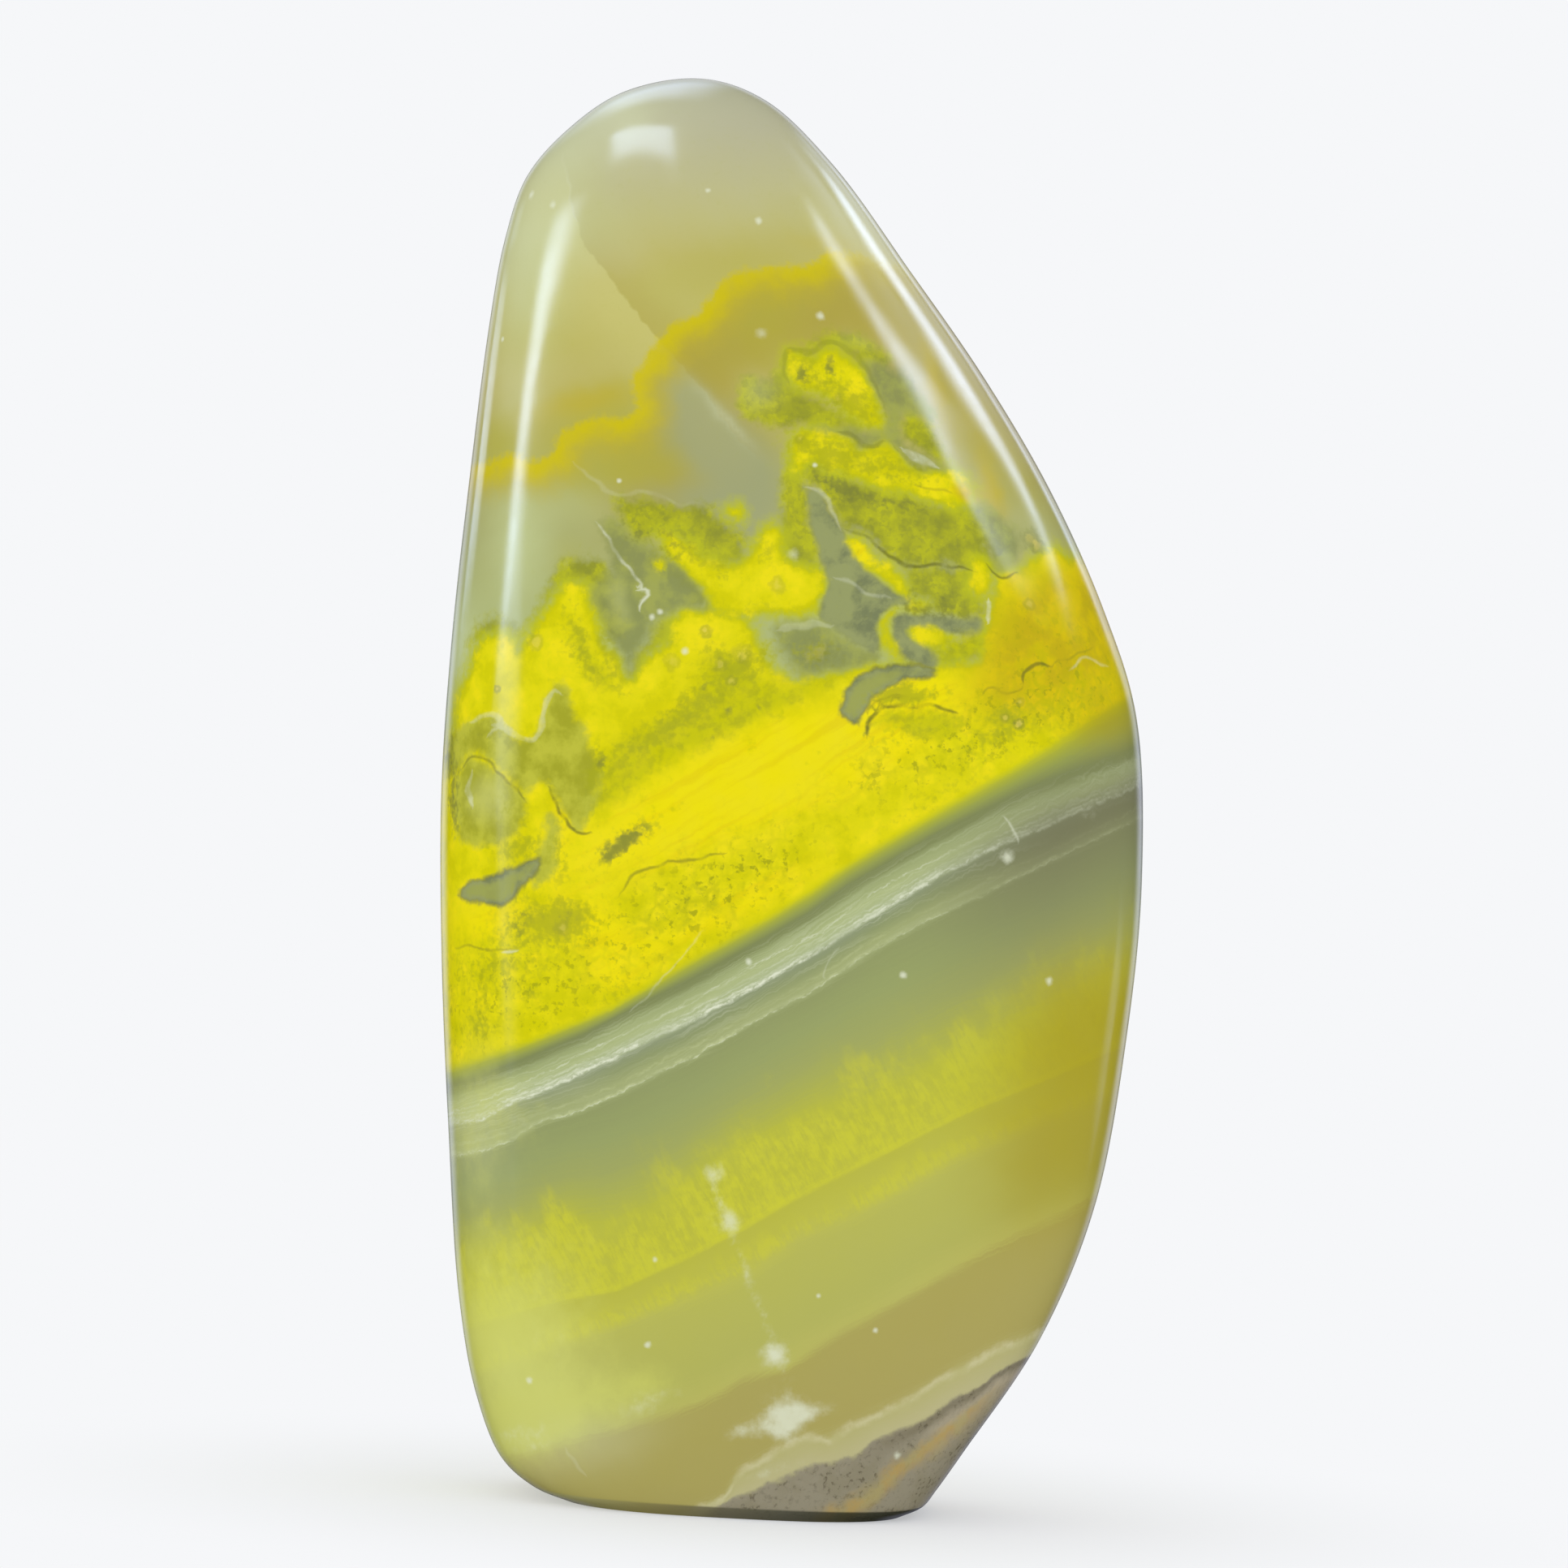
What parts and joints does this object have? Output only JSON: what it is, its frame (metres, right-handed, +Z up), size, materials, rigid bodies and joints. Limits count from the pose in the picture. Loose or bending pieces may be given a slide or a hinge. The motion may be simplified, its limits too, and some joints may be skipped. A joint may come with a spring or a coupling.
{
  "type": "standing stone",
  "caption": "Free-standing freeform of banded yellow, grey-green and amber jasper, cut flat below and polished all over, with a slanting shoulder and a rounded top",
  "frame": {"origin": "Under the middle of the stone's bounding box, on the plane of the sawn base", "axes": "+Z up along the stone's height. The wide face with the yellow band faces -Y. +X is to the right when looking at that face, towards the bulging edge."},
  "size_m": [0.0546, 0.034, 0.11],
  "materials": {
    "bumblebee_jasper": "polished"
  },
  "bodies": {
    "root": {"stone": "bumblebee_jasper"}
  },
  "joints": []
}
